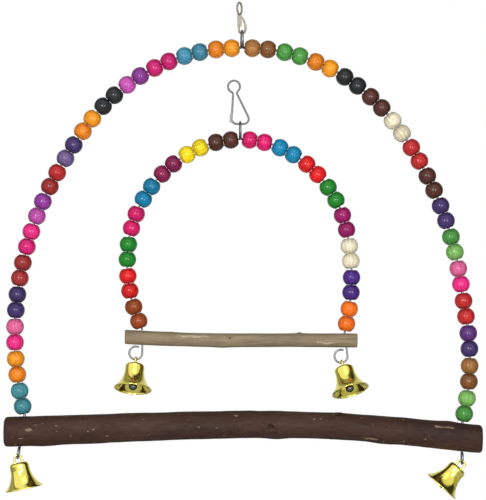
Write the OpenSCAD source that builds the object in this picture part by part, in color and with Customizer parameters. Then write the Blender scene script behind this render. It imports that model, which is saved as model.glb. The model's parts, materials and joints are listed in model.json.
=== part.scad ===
// Bird swing set: a large beaded swing with a small one inside it.
// Each swing is one bent spring wire threaded with wooden beads, standing in a natural
// branch perch, with a bell under each foot and a spring-wire clip through its top loop.
// X runs to the right, Y to the back and Z up. The origin is where the large clip hangs:
// the inside of the top of its eye.

/* [Beads] */
// Diameter of a bead on the large swing
large_bead_d = 10.8; // [9.4:0.1:11.6]
// Diameter of a bead on the small swing
small_bead_d = 10.6; // [9.4:0.1:11.4]
// Length of a large swing's bead between its two flats
large_bead_len = 9.3; // [9:0.05:9.6]
// Length of a small swing's bead between its two flats
small_bead_len = 8.9; // [8.6:0.05:9.2]
// Bore through every bead
bead_bore_d = 3.2; // [3:0.1:3.6]
// Gap between two beads of one colour
bead_gap = 0.15; // [0.1:0.05:0.4]
// Gap between one colour and the next on the left of the large swing
large_pair_gap_left = 0.6; // [0.6:0.05:1]
// Gap between one colour and the next on the right of the large swing
large_pair_gap_right = 0.85; // [0.6:0.05:1]
// Gap between one colour and the next on the small swing
small_pair_gap = 1; // [1:0.05:1.3]

/* [Large wire arch] */
// Thickness of the large arch wire
large_wire_d = 1.6; // [1.4:0.1:1.8]
// Radius of the crown of the large arch, left side
large_crown_r_left = 112; // [108:1:125]
// Radius of the crown of the large arch, right side
large_crown_r_right = 111; // [108:1:125]
// Radius of the flanks of the large arch
large_flank_r = 205; // [190:1:230]
// Straight length low on the right flank of the large arch
large_straight_right = 27; // [15:1:40]
// Straight length low on the left flank of the large arch
large_straight_left = 8; // [1:1:20]
// Radius at which the left foot of the large arch draws in
large_foot_r_left = 200; // [180:1:240]
// Radius at which the right foot of the large arch draws in
large_foot_r_right = 155; // [125:1:190]
// Radius of the top loop of the large arch, to the middle of its wire
large_loop_r = 4.9; // [4.6:0.1:6]
// Radius of the eyes under the large perch, to the middle of the wire
large_eye_r = 3; // [2.8:0.1:4]

/* [Small wire arch] */
// Thickness of the small arch wire
small_wire_d = 1.2; // [1:0.1:1.4]
// Radius of the crown of the small arch
small_crown_r = 52.5; // [52:0.1:60]
// Radius of the left flank of the small arch
small_flank_r_left = 73; // [68:0.1:78]
// Radius of the right flank of the small arch
small_flank_r_right = 69.5; // [68:0.1:78]
// Straight length low on the left flank of the small arch
small_straight_left = 2; // [1:1:6]
// Straight length low on the right flank of the small arch
small_straight_right = 6; // [1:1:10]
// Radius at which the left foot of the small arch draws in
small_foot_r_left = 91; // [75:1:110]
// Radius at which the right foot of the small arch draws in
small_foot_r_right = 130; // [110:1:160]
// Radius of the top loop of the small arch, to the middle of its wire
small_loop_r = 5.2; // [4.8:0.1:6]
// Radius of the eyes under the small perch, to the middle of the wire
small_eye_r = 3.9; // [3.4:0.1:4.4]

/* [Perches] */
// Radius of the large branch at its left end
large_perch_r_left = 9; // [8:0.1:10]
// Radius of the large branch at its thinnest, right of the middle
large_perch_r_waist = 8.1; // [7.4:0.1:8.8]
// Radius of the large branch at its right end
large_perch_r_right = 8.5; // [7.8:0.1:9.4]
// How far the large branch arches up between its two holes
large_perch_bow = 5.7; // [0:0.1:8]
// How far the large branch sways between its two holes
large_perch_sway = -1; // [-3:0.1:3]
// Length of the large branch past its left hole
large_overhang_left = 11; // [9:0.1:20]
// Length of the large branch past its right hole
large_overhang_right = 12.3; // [9:0.1:20]
// Radius of the small branch at its left end
small_perch_r_left = 4.35; // [4:0.05:5]
// Radius of the small branch at its middle
small_perch_r_waist = 4.2; // [3.8:0.05:4.8]
// Radius of the small branch at its right end
small_perch_r_right = 4.3; // [4:0.05:5]
// How far the small branch sags between its two holes
small_perch_bow = -0.8; // [-2:0.1:2]
// How far the small branch sways between its two holes
small_perch_sway = -0.3; // [-1:0.1:1]
// Length of the small branch past its left hole
small_overhang_left = 10.5; // [6:0.1:15]
// Length of the small branch past its right hole
small_overhang_right = 7.2; // [5:0.1:12]

/* [Clips] */
// Thickness of the clip wire
clip_wire_d = 1.2; // [1:0.1:1.3]
// Radius of the round eye at the top of a clip, to the middle of its wire
clip_head_r = 3.6; // [3.4:0.1:4]
// Drop from the hanging point of the large clip to the middle of its hook
large_clip_drop = 18; // [17.6:0.1:22]
// Distance of the large clip's hook to the right of its hanging point
large_hook_right = 1.5; // [1.2:0.1:1.8]
// Width of the flattened shank of the large clip
shank_w = 2.8; // [2.4:0.1:3]
// Drop from the hanging point of the small clip to the middle of its hook
small_clip_drop = 25.4; // [24:0.1:30]
// Turn of the large clip's eye about its shank
large_head_turn = 68; // [0:1:90]

/* [Bells] */
// Radius of the mouth of a bell
bell_mouth_r = 11.4; // [10:0.1:13]
// Height of a bell
bell_h = 16; // [14:0.1:18]
// Radius of the straight upper part of a bell
bell_body_r = 5.8; // [5.2:0.1:6.4]
// Wall of a bell
bell_wall = 0.8; // [0.6:0.05:1]
// Thickness of the wire staple that a bell hangs by
staple_wire_d = 1.3; // [1.1:0.1:1.4]
// Distance from the middle of an eye's wire down to the crown of its bell
bell_drop = 2.8; // [2.6:0.1:5]
// Radius of the clapper's ball
clapper_ball_r = 2.6; // [2:0.1:3]

/* [Small swing's place] */
// Distance of the small clip's hanging point left of the origin
small_hang_left = 3.3; // [0:0.1:8]
// Distance of the small clip's hanging point below the origin
small_hang_drop = 46.8; // [46:0.5:60]

/* [Hidden] */
$fn = 64;
large_pairs = 15;
small_pairs = 8;
sides = ["left", "right"];
// Running gap between a hooked wire and what it carries
seat_gap = 0.05;
// Gap round the wire in a drilled perch
hole_gap = 0.12;
// How far a cut runs past the faces that it opens
overrun = 1;
// Gap from the middle of an arch to its first bead
large_first_gap = 1.55;
small_first_gap = 1.25;
// Gap between the last bead and the bend above the perch
foot_gap = 0.3;
// Radius of the bend above the perch
foot_bend_r = 3;
// Gap between a perch and the top of the eye under it
eye_gap = 0.3;
// How far round an eye its wire goes, in degrees
eye_turn = 300;
// Radius of the bends that lead in and out of a top loop
large_lead_r = 1.5;
small_lead_r = 1.2;
// How far a top loop runs sideways in its one turn
large_loop_pitch = 1;
small_loop_pitch = 0.8;
// Straight wire between a top loop's bends and the arch
loop_start = 0.15;
// Facets round an arch's wire, and degrees between its rings on wide and tight bends
wire_facets = 12;
wide_cut = 4;
tight_cut = 15;
tight_r = 6;
loop_cuts = 36;
wire_sides = 24;
// The balls that join stretches of wire, and how far the stretches stop short of them
joint_share = 1.02;
trim_share = 0.04;

// Turns of the arches, in degrees, from the top down
large_crown_turn_left = 53;
large_flank_turn_left = 6;
large_crown_turn_right = 52;
large_flank_turn_right = 29;
small_crown_turn = 20;
small_flank_turn_left = 68;
small_flank_turn_right = 62;
// Directions in which the wire's feet pass through the perches: 90 is straight down and
// less leads outwards
large_foot_heading_left = 81;
large_foot_heading_right = 91;
small_foot_heading_left = 90;
small_foot_heading_right = 83;

radian = PI / 180;
function arc_step(r, turn) = [r * abs(turn) * radian, turn];
function turned(p, a) = [p[0] * cos(a) - p[1] * sin(a), p[0] * sin(a) + p[1] * cos(a)];
function step_r(step) = step[0] / (abs(step[1]) * radian);
function step_side(step) = step[1] < 0 ? -1 : 1;
// Where a step leads after a length s of it, seen from its own start and heading
function step_move(step, s) =
    step[1] == 0
        ? [s, 0]
        : let (t = abs(step[1]) * s / step[0])
          [step_r(step) * sin(t), step_side(step) * step_r(step) * (1 - cos(t))];
// Point and heading at a length s along steps of [length, turn]
function walk(steps, s, i = 0, p = [0, 0], a = 0) =
    i >= len(steps) - 1 || s <= steps[i][0]
        ? [p + turned(step_move(steps[i], s), a), a + steps[i][1] * s / steps[i][0]]
        : walk(steps, s - steps[i][0], i + 1,
               p + turned(step_move(steps[i], steps[i][0]), a), a + steps[i][1]);
function run_to(steps, n, i = 0) = i >= n ? 0 : steps[i][0] + run_to(steps, n, i + 1);
function last(v) = v[len(v) - 1];

// One side of an arch, from the middle of the top loop to the end of the foot's straight.
// A side is drawn in its own plane: x outwards, y down.
function side_steps(loop_half, crown, flank, straight, foot_r, bead_run, heading, through) =
    let (rest = bead_run - loop_half - crown[0] - flank[0] - straight)
    let (foot_turn = rest / foot_r / radian)
    let (bend = heading - crown[1] - flank[1] - foot_turn)
    [[loop_half, 0], crown, flank, [straight, 0], [rest, foot_turn], [foot_gap, 0],
     arc_step(foot_bend_r, bend), [through, 0]];

large_pair_len = 2 * large_bead_len + bead_gap;
small_pair_len = 2 * small_bead_len + bead_gap;
small_pair_pitch = small_pair_len + small_pair_gap;
function large_pair_gap(side) = side == "left" ? large_pair_gap_left : large_pair_gap_right;
function large_pair_start(side, i) =
    large_first_gap + i * (large_pair_len + large_pair_gap(side));
function large_bead_run(side) = large_pair_start(side, large_pairs) - large_pair_gap(side);
small_bead_run = small_first_gap + small_pairs * small_pair_pitch - small_pair_gap;
large_loop_half = large_loop_pitch / 2 + large_lead_r + loop_start;
small_loop_half = small_loop_pitch / 2 + small_lead_r + loop_start;
// A foot runs through its perch and on to the level of its eye's middle
large_eye_reach = large_eye_r + large_wire_d / 2 + eye_gap;
small_eye_reach = small_eye_r + small_wire_d / 2 + eye_gap;
large_through_left = 2 * large_perch_r_left + large_eye_reach;
large_through_right = 2 * large_perch_r_right + large_eye_reach;
small_through_left = 2 * small_perch_r_left + small_eye_reach;
small_through_right = 2 * small_perch_r_right + small_eye_reach;

large_steps_left = side_steps(
    large_loop_half, arc_step(large_crown_r_left, large_crown_turn_left),
    arc_step(large_flank_r, large_flank_turn_left), large_straight_left, large_foot_r_left,
    large_bead_run("left"), large_foot_heading_left, large_through_left);
large_steps_right = side_steps(
    large_loop_half, arc_step(large_crown_r_right, large_crown_turn_right),
    arc_step(large_flank_r, large_flank_turn_right), large_straight_right, large_foot_r_right,
    large_bead_run("right"), large_foot_heading_right, large_through_right);
small_steps_left = side_steps(
    small_loop_half, arc_step(small_crown_r, small_crown_turn),
    arc_step(small_flank_r_left, small_flank_turn_left), small_straight_left, small_foot_r_left,
    small_bead_run, small_foot_heading_left, small_through_left);
small_steps_right = side_steps(
    small_loop_half, arc_step(small_crown_r, small_crown_turn),
    arc_step(small_flank_r_right, small_flank_turn_right), small_straight_right,
    small_foot_r_right,
    small_bead_run, small_foot_heading_right, small_through_right);

// The small clip's bends: the eye, the neck, the spread leg, the hook and its tip. A clip
// is drawn in its own plane from its hanging point: x to the right, y down.
small_head_turn_right = 140;
small_head_turn_left = 156;
small_leg_heading = 64;
small_sprung_heading = 87;
small_tip_heading = 274;
small_neck_r = 1.5;
small_hook_r = 3;
small_hook_flat = 4.2;
small_tip_len = 1.2;
clip_top = [0, -clip_wire_d / 2];
small_neck_steps = [arc_step(clip_head_r, small_head_turn_right),
    arc_step(small_neck_r, small_leg_heading - small_head_turn_right)];
small_neck_end = walk(small_neck_steps, run_to(small_neck_steps, 2), 0, clip_top)[0];
small_leg_len = (small_clip_drop - small_hook_r * (1 + cos(small_leg_heading)) - small_neck_end[1])
    / sin(small_leg_heading);
small_hook_steps = concat(small_neck_steps, [
    [small_leg_len, 0], arc_step(small_hook_r, 180 - small_leg_heading),
    [small_hook_flat, 0], arc_step(small_hook_r, small_tip_heading - 180), [small_tip_len, 0]]);
// The loop hangs at the middle of the hook's flat
small_clip_hook_x = walk(small_hook_steps, run_to(small_hook_steps, 4), 0, clip_top)[0][0]
    - small_hook_flat / 2;
small_tip = walk(small_hook_steps, run_to(small_hook_steps, 7), 0, clip_top)[0];

// The height from a hook's middle down to the bead line: the loop hangs on the hook
function hook_to_line(loop_r, lead_r, wire_d) =
    let (loop_above_hook = loop_r - wire_d / 2 - seat_gap - clip_wire_d / 2)
    loop_above_hook + sqrt(loop_r * loop_r + lead_r * lead_r);
large_line = [large_hook_right, 0,
    -large_clip_drop - hook_to_line(large_loop_r, large_lead_r, large_wire_d)];
small_line = [
    small_clip_hook_x - small_hang_left, 0,
    -small_hang_drop - small_clip_drop - hook_to_line(small_loop_r, small_lead_r, small_wire_d)];

// The latch: a folded channel on the sprung side of a clip, open inwards, that the
// hook's tip springs into
latch_gap = 0.1;
latch_wall = 0.45;
latch_plug = 1.5;
tip_gap = 0.4;
small_latch_len = 5.4;
large_latch_len = 3.6;
latch_w = clip_wire_d + 2 * latch_gap + 2 * latch_wall;
small_latch_below = small_latch_len - latch_plug - tip_gap;
// The middle of the small latch's plug, where the sprung leg ends
small_plug = small_tip + turned([latch_plug / 2 + tip_gap, 0], small_tip_heading);
sprung_neck_steps = [arc_step(clip_head_r, small_head_turn_left),
    arc_step(small_neck_r, small_sprung_heading - small_head_turn_left)];
sprung_neck_end = walk(sprung_neck_steps, run_to(sprung_neck_steps, 2), 0, clip_top)[0];
small_sprung_steps = concat(sprung_neck_steps,
    [[(small_plug[1] - sprung_neck_end[1]) / sin(small_sprung_heading), 0]]);

// The large clip: a narrow hook on a flattened shank, closed by a bent gate wire
large_hook_r = 1.8;
large_tip_len = 1.8;
shank_t = 0.9;
shank_len = 6.4;
shank_taper = 1.5;
shank_tail = 1.4;
gate_wire_d = 1;
gate_r = 7;
gate_turn = 50;
large_leg_x = large_hook_right - large_hook_r;
large_tip_x = large_hook_right + large_hook_r;
shank_top = 2 * clip_head_r - clip_wire_d / 2;
large_tip_level = large_clip_drop - large_hook_r - large_tip_len;
large_plug_level = large_tip_level - tip_gap - latch_plug / 2;

// A bell, from the pivot on its eye's wire down: crown, flare and lip
bell_lip_h = 0.5;
bell_corner_r = 2;
bell_flare_h = 12.5;
bell_mouth_level = bell_drop + bell_h;
bell_flare_level = bell_mouth_level - bell_flare_h;
bell_spread = bell_mouth_r - bell_body_r;
bell_flare_reach = bell_flare_h - bell_lip_h;
bell_flare_r = (bell_spread * bell_spread + bell_flare_reach * bell_flare_reach) / (2 * bell_spread);
// The staple that the bell hangs by, and the bar across its legs inside the bell
staple_r = 2.15;
staple_hole_gap = 0.1;
crimp_r = 1.1;
crimp_h = 0.5;
bar_drop = 2.8;
bar_d = 1;
bar_level = bell_drop + bar_drop;
// The clapper: a ring round the bar, a rod and a ball
clapper_ring_gap = 0.1;
clapper_wire_d = 0.9;
ball_above_mouth = 2;
clapper_ring_r = bar_d / 2 + clapper_ring_gap + clapper_wire_d / 2;
ball_level = bell_mouth_level - ball_above_mouth;

// Angles of the bells at rest, in degrees. A large bell leans in the arch's plane; a small
// one hangs from a point round its eye and shows its mouth to the front.
large_bell_lean_left = -12;
large_bell_lean_right = 42;
small_bell_point_left = 0;
small_bell_point_right = 8;
small_bell_lean_left = 5;
small_bell_lean_right = -16;
small_bell_pitch_left = 19;
small_bell_pitch_right = 21;

function to_space(side, line, p) = line + [(side == "left" ? -1 : 1) * p[0], 0, -p[1]];
function foot_end(steps) = walk(steps, run_to(steps, len(steps)));
function large_pivot(side) =
    let (end = foot_end(side == "left" ? large_steps_left : large_steps_right))
    let (down = large_eye_r * [cos(end[1]), sin(end[1])])
    to_space(side, large_line, end[0] + down) - [0, large_eye_r, 0];
function small_pivot(side) =
    let (end = foot_end(side == "left" ? small_steps_left : small_steps_right))
    let (way = side == "left" ? -1 : 1)
    let (middle = end[0] + way * small_eye_r * [-sin(end[1]), cos(end[1])])
    let (point = side == "left" ? small_bell_point_left : small_bell_point_right)
    to_space(side, small_line, middle) + small_eye_r * [sin(point), 0, -cos(point)];

function colour_of(name) =
    name == "orange" ? [0.92, 0.56, 0.1]
    : name == "blue" ? [0.25, 0.53, 0.64]
    : name == "magenta" ? [0.78, 0.12, 0.43]
    : name == "violet" ? [0.5, 0.2, 0.55]
    : name == "black" ? [0.12, 0.12, 0.13]
    : name == "indigo" ? [0.24, 0.18, 0.38]
    : name == "red" ? [0.73, 0.16, 0.16]
    : name == "brick" ? [0.59, 0.18, 0.18]
    : name == "pink" ? [0.88, 0.39, 0.59]
    : name == "teal" ? [0.24, 0.51, 0.55]
    : name == "tan" ? [0.59, 0.41, 0.22]
    : name == "green" ? [0.29, 0.59, 0.25]
    : name == "brown" ? [0.27, 0.16, 0.12]
    : name == "cream" ? [0.89, 0.86, 0.75]
    : name == "yellow" ? [0.94, 0.84, 0.08]
    : name == "maroon" ? [0.47, 0.08, 0.27]
    : [0.55, 0.27, 0.1];
large_colours_left = ["orange", "blue", "magenta", "violet", "black", "orange", "indigo", "red",
    "violet", "magenta", "brick", "indigo", "pink", "orange", "teal"];
large_colours_right = ["tan", "green", "orange", "black", "brown", "cream", "red", "brown",
    "indigo", "green", "magenta", "red", "violet", "tan", "green"];
small_colours_left = ["brown", "yellow", "maroon", "blue", "magenta", "green", "red", "russet"];
small_colours_right = ["magenta", "blue", "red", "green", "violet", "cream", "indigo", "orange"];
steel = [0.68, 0.69, 0.7];
gold = [0.85, 0.75, 0.25];

function beads_name(swing, side, i) = str(swing, "_", side, "_beads_", i < 9 ? "0" : "", i + 1);

// Puts a drawing made in a side's own plane onto that side of an arch
module on_side(side, line) {
    translate(line) mirror([side == "left" ? 1 : 0, 0, 0]) rotate([-90, 0, 0]) children();
}

// One straight or round stretch of wire, from its own start along +x, trimmed at its ends
module wire_step(step, wire_d, trim_start = 0, trim_end = 0) {
    length = step[0] - trim_start - trim_end;
    if (step[1] == 0) translate([trim_start, 0, 0]) rotate([0, 90, 0])
        cylinder(h = length, d = wire_d, $fn = wire_sides);
    else mirror([0, step_side(step) < 0 ? 1 : 0, 0]) translate([0, step_r(step), 0])
        rotate([0, 0, abs(step[1]) * trim_start / step[0] - 90])
            rotate_extrude(angle = abs(step[1]) * length / step[0])
                translate([step_r(step), 0]) circle(d = wire_d, $fn = wire_sides);
}

// A wire bent in one plane, from its step number first to its end. A ball joins each
// stretch to the next, and to what comes before or after when those ends are joined.
module bent_wire(steps, wire_d, first = 0, joined_start = false, joined_end = false) {
    trim = trim_share * wire_d;
    for (i = [first:len(steps) - 1]) {
        at = walk(steps, run_to(steps, i));
        translate([at[0][0], at[0][1], 0]) rotate([0, 0, at[1]]) {
            start_joined = i > first || joined_start;
            end_joined = i < len(steps) - 1 || joined_end;
            wire_step(steps[i], wire_d, start_joined ? trim : 0, end_joined ? trim : 0);
            if (start_joined) sphere(d = joint_share * wire_d);
        }
    }
}

// A closed skin over rings of points that follow one another along the same way round
module skin(rings, sides_round) {
    walls = [for (i = [0:len(rings) - 2], k = [0:sides_round - 1])
        let (a = i * sides_round + k)
        let (b = i * sides_round + (k + 1) % sides_round)
        each [[b, a, a + sides_round], [b, a + sides_round, b + sides_round]]];
    polyhedron([for (ring = rings) each ring], concat(
        [[for (k = [0:sides_round - 1]) k]], walls,
        [[for (k = [sides_round - 1:-1:0]) (len(rings) - 1) * sides_round + k]]));
}

// A ring of points round a wire that runs along t, the first of them towards n
function wire_ring(p, t, n, wire_d) =
    let (v = cross(t, n))
    [for (k = [0:wire_facets - 1])
        let (a = 360 * k / wire_facets)
        p + wire_d / 2 * (cos(a) * n + sin(a) * v)];

// The middle of the top loop's wire: a bend out of the arch's line, one turn about X that
// runs sideways by its pitch, and the same bend back
function loop_points(loop_r, lead_r, pitch) =
    let (dip = atan(lead_r / loop_r))
    let (start = [loop_r * sin(dip), -loop_r * cos(dip)])
    let (away = [cos(dip), sin(dip)])
    let (lead = [for (t = [0:15:75])
        concat([-pitch / 2 - lead_r * (1 - sin(t))], start - lead_r * cos(t) * away)])
    let (turn = [for (i = [0:loop_cuts])
        let (a = dip + (360 - 2 * dip) * i / loop_cuts)
        [pitch * (i / loop_cuts - 0.5), loop_r * sin(a), -loop_r * cos(a)]])
    concat(lead, turn, [for (i = [len(lead) - 1:-1:0]) [-lead[i][0], -lead[i][1], lead[i][2]]]);
function loop_rings(line, loop_r, lead_r, pitch, wire_d) =
    let (points = loop_points(loop_r, lead_r, pitch))
    let (end = len(points) - 1)
    [for (i = [0:end])
        let (along = i == 0 || i == end ? [1, 0, 0] : points[i + 1] - points[i - 1])
        let (t = along / norm(along))
        let (out = [0, points[i][1], points[i][2]])
        let (flat = out - (out * t) * t)
        wire_ring(points[i] + line + [0, 0, norm([loop_r, lead_r])], t, flat / norm(flat), wire_d)];

// Rings along one side of a bent wire from its step number first, run from left to right
function step_cuts(step) =
    step[1] == 0 ? 1 : ceil(abs(step[1]) / (step_r(step) > tight_r ? wide_cut : tight_cut));
function side_rings(side, line, steps, wire_d, first = 1) =
    let (way = side == "left" ? -1 : 1)
    let (cuts = [for (i = [first:len(steps) - 1])
        let (n = step_cuts(steps[i]))
        for (k = [0:n - 1]) walk(steps, run_to(steps, i) + steps[i][0] * k / n)])
    [for (at = concat(cuts, [foot_end(steps)]))
        wire_ring(to_space(side, line, at[0]), [cos(at[1]), 0, -way * sin(at[1])],
            [-way * sin(at[1]), 0, -cos(at[1])], wire_d)];

// Rings round an eye that stands across the arch's plane, to the front of its foot
function cross_eye_rings(side, line, steps, eye_r, wire_d) =
    let (way = side == "left" ? -1 : 1)
    let (end = foot_end(steps))
    let (down = [way * cos(end[1]), 0, -sin(end[1])])
    let (back = [0, 1, 0])
    let (middle = to_space(side, line, end[0]) - eye_r * back)
    [for (a = [tight_cut:tight_cut:eye_turn])
        wire_ring(middle + eye_r * (cos(a) * back + sin(a) * down),
            way * (cos(a) * down - sin(a) * back),
            [-way * sin(end[1]), 0, -cos(end[1])], wire_d)];
function reversed(v) = [for (i = [len(v) - 1:-1:0]) v[i]];
function but_first(v) = [for (i = [1:len(v) - 1]) v[i]];

module large_wire_arch() color(steel) skin(concat(
    reversed(cross_eye_rings("left", large_line, large_steps_left, large_eye_r, large_wire_d)),
    reversed(side_rings("left", large_line, large_steps_left, large_wire_d)),
    loop_rings(large_line, large_loop_r, large_lead_r, large_loop_pitch, large_wire_d),
    side_rings("right", large_line, large_steps_right, large_wire_d),
    cross_eye_rings("right", large_line, large_steps_right, large_eye_r, large_wire_d)),
    wire_facets);

module small_wire_arch() color(steel) skin(concat(
    reversed(side_rings("left", small_line,
        concat(small_steps_left, [arc_step(small_eye_r, -eye_turn)]), small_wire_d)),
    loop_rings(small_line, small_loop_r, small_lead_r, small_loop_pitch, small_wire_d),
    side_rings("right", small_line,
        concat(small_steps_right, [arc_step(small_eye_r, eye_turn)]), small_wire_d)),
    wire_facets);

// A bead: a ball with two flats, drilled through along x
module bead(bead_d, bead_len) {
    rotate([0, 90, 0]) difference() {
        intersection() {
            sphere(d = bead_d);
            cylinder(h = bead_len, d = bead_d + 2 * overrun, center = true);
        }
        cylinder(h = bead_len + 2 * overrun, d = bead_bore_d, center = true);
    }
}

// Two beads of one colour, drilled in line, on the chord of their stretch of wire
module bead_pair(side, line, steps, start, bead_d, bead_len) {
    pair_len = 2 * bead_len + bead_gap;
    a = walk(steps, start)[0];
    m = walk(steps, start + pair_len / 2)[0];
    b = walk(steps, start + pair_len)[0];
    seat = ((a + b) / 2 + m) / 2;
    on_side(side, line) translate([seat[0], seat[1], 0])
        rotate([0, 0, atan2(b[1] - a[1], b[0] - a[0])])
            for (end = [-1, 1]) translate([end * (bead_len + bead_gap) / 2, 0, 0])
                bead(bead_d, bead_len);
}

module large_beads(side, i) {
    colours = side == "left" ? large_colours_left : large_colours_right;
    steps = side == "left" ? large_steps_left : large_steps_right;
    color(colour_of(colours[i]))
        bead_pair(side, large_line, steps, large_pair_start(side, i), large_bead_d,
            large_bead_len);
}

module small_beads(side, i) {
    colours = side == "left" ? small_colours_left : small_colours_right;
    steps = side == "left" ? small_steps_left : small_steps_right;
    color(colour_of(colours[i]))
        bead_pair(side, small_line, steps, small_first_gap + i * small_pair_pitch,
            small_bead_d, small_bead_len);
}

// Where a foot crosses the middle of its perch, in space
function hole_middle(side, line, steps, perch_r) =
    let (at = walk(steps, run_to(steps, len(steps) - 1) + perch_r)[0])
    line + [(side == "left" ? -1 : 1) * at[0], 0, -at[1]];

// A swelling round a knot: [share of the length, angle round the branch, share of the
// radius that it adds, width as a share of the length]
large_knot_shares = [[0.09, 250, 0.05, 0.03], [0.27, 40, 0.05, 0.03], [0.44, 200, 0.04, 0.02],
    [0.57, 285, 0.1, 0.022], [0.7, 120, 0.06, 0.025], [0.79, 255, 0.07, 0.03], [0.93, 60, 0.06, 0.02]];
small_knot_shares = [[0.2, 80, 0.05, 0.03], [0.42, 280, 0.08, 0.03], [0.46, 200, 0.05, 0.02],
    [0.75, 60, 0.06, 0.03]];
// How much a branch narrows on its first and last rings, and where those rings lie
end_round_shares = [0.8, 0.95, 1];
end_ring_shares = [0, 0.14, 0.42];
// Where along a branch its waist lies
waist_share = 0.7;
// Two shallow waves round a branch: [share of the radius, how many go round it, degrees that
// they turn over its length]
grain_wave_shares = [[0.012, 3, 400], [0.01, 2, -900]];
perch_rings = 44;
perch_sides = 18;

function knot_swell(knots, t, a) =
    [for (k = knots) 1] * [for (k = knots)
        k[2] * exp(-pow((t - k[0]) / k[3], 2)) * max(0, cos(a - k[1]))];
function end_round(i, n) =
    let (k = min(i, n - i))
    k < 3 ? end_round_shares[k] : 1;
function branch_r(r_left, r_waist, r_right, t) =
    t < waist_share
        ? r_waist + (r_left - r_waist) * (1 + cos(180 * t / waist_share)) / 2
        : r_waist
            + (r_right - r_waist) * (1 - cos(180 * (t - waist_share) / (1 - waist_share))) / 2;

// A branch between two holes, along x from the left hole's middle
module branch(span, past_left, past_right, r_left, r_waist, r_right, bow, sway, knots) {
    total = span + past_left + past_right;
    n = perch_rings - 1;
    rings = [for (i = [0:n])
        let (edge = min(i, n - i))
        let (inset = edge < 3 ? end_ring_shares[edge] * r_waist : 0)
        let (inner = (i - 2) / (n - 4))
        let (x = i < 3 ? inset - past_left
            : n - i < 3 ? span + past_right - inset
            : -past_left + end_ring_shares[2] * r_waist
                + inner * (total - 2 * end_ring_shares[2] * r_waist))
        let (t = (x + past_left) / total)
        let (h = x / span)
        [for (k = [0:perch_sides - 1])
        let (a = 360 * k / perch_sides)
        let (grain = 1 + [1, 1] * [for (w = grain_wave_shares) w[0] * sin(w[1] * a + w[2] * t)])
        let (r = branch_r(r_left, r_waist, r_right, t) * end_round(i, n)
            * (grain + knot_swell(knots, t, a)))
        [x, r * cos(a), bow * sin(180 * h) + sway * sin(360 * h) + r * sin(a)]]];
    skin(rings, perch_sides);
}

// The hole for a foot, as long as the wire that it lets through
module foot_hole(side, line, steps, wire_d) {
    on_side(side, line) {
        at = walk(steps, run_to(steps, len(steps) - 1));
        translate([at[0][0], at[0][1], 0]) rotate([0, 0, at[1]])
            translate([-foot_gap - overrun, 0, 0])
                wire_step([last(steps)[0] + foot_gap + overrun, 0], wire_d + 2 * hole_gap);
    }
}

module drilled_branch(line, left, right, wire_d, r_left, r_waist, r_right, past_left, past_right,
                      bow, sway, knots) {
    from = hole_middle("left", line, left, r_left);
    to = hole_middle("right", line, right, r_right);
    way = to - from;
    difference() {
        translate(from) rotate([0, -atan2(way[2], way[0]), 0])
            branch(norm(way), past_left, past_right, r_left, r_waist, r_right, bow, sway, knots);
        foot_hole("left", line, left, wire_d);
        foot_hole("right", line, right, wire_d);
    }
}

module large_perch() color([0.27, 0.2, 0.18])
    drilled_branch(large_line, large_steps_left, large_steps_right, large_wire_d,
        large_perch_r_left, large_perch_r_waist, large_perch_r_right,
        large_overhang_left, large_overhang_right, large_perch_bow, large_perch_sway,
        large_knot_shares);

module small_perch() color([0.59, 0.53, 0.43])
    drilled_branch(small_line, small_steps_left, small_steps_right, small_wire_d,
        small_perch_r_left, small_perch_r_waist, small_perch_r_right,
        small_overhang_left, small_overhang_right, small_perch_bow, small_perch_sway,
        small_knot_shares);

// A latch along x: its channel from the start, its solid plug at the end, open to +y
module latch(length) {
    inner = clip_wire_d + 2 * latch_gap;
    channel = length - latch_plug;
    difference() {
        translate([0, -latch_w / 2, -latch_w / 2])
            cube([length, latch_w / 2 + clip_wire_d / 2, latch_w]);
        translate([-overrun, 0, 0]) rotate([0, 90, 0]) cylinder(h = channel + overrun, d = inner);
        translate([-overrun, 0, -inner / 2]) cube([channel + overrun, latch_w, inner]);
    }
}

module large_clip() color(steel) {
    translate([0, 0, clip_wire_d / 2 - clip_head_r]) rotate([0, 0, large_head_turn])
        rotate([90, 0, 0]) rotate_extrude() translate([clip_head_r, 0]) circle(d = clip_wire_d);
    rotate([-90, 0, 0]) {
        translate([0, 0, -shank_t / 2]) linear_extrude(height = shank_t) polygon([
            [-shank_w / 2, shank_top], [shank_w / 2, shank_top],
            [shank_w / 2, shank_top + shank_len],
            [large_leg_x + clip_wire_d / 2, shank_top + shank_len + shank_taper],
            [large_leg_x + clip_wire_d / 2, shank_top + shank_len + shank_taper + shank_tail],
            [large_leg_x - clip_wire_d / 2, shank_top + shank_len + shank_taper + shank_tail],
            [-shank_w / 2, shank_top + shank_len]]);
        translate([large_leg_x, shank_top + shank_len, 0]) rotate([0, 0, 90]) bent_wire([
            [large_clip_drop - large_hook_r - shank_top - shank_len, 0],
            arc_step(large_hook_r, -180), [large_tip_len, 0]], clip_wire_d);
        translate([large_tip_x, large_tip_level, 0]) rotate([0, 0, -90]) mirror([0, 1, 0])
            translate([latch_plug + tip_gap - large_latch_len, 0, 0]) latch(large_latch_len);
        translate([large_tip_x - gate_r * (1 - cos(gate_turn)),
                   large_plug_level - gate_r * sin(gate_turn), 0])
            rotate([0, 0, 90 - gate_turn]) wire_step(arc_step(gate_r, gate_turn), gate_wire_d);
    }
}

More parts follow.
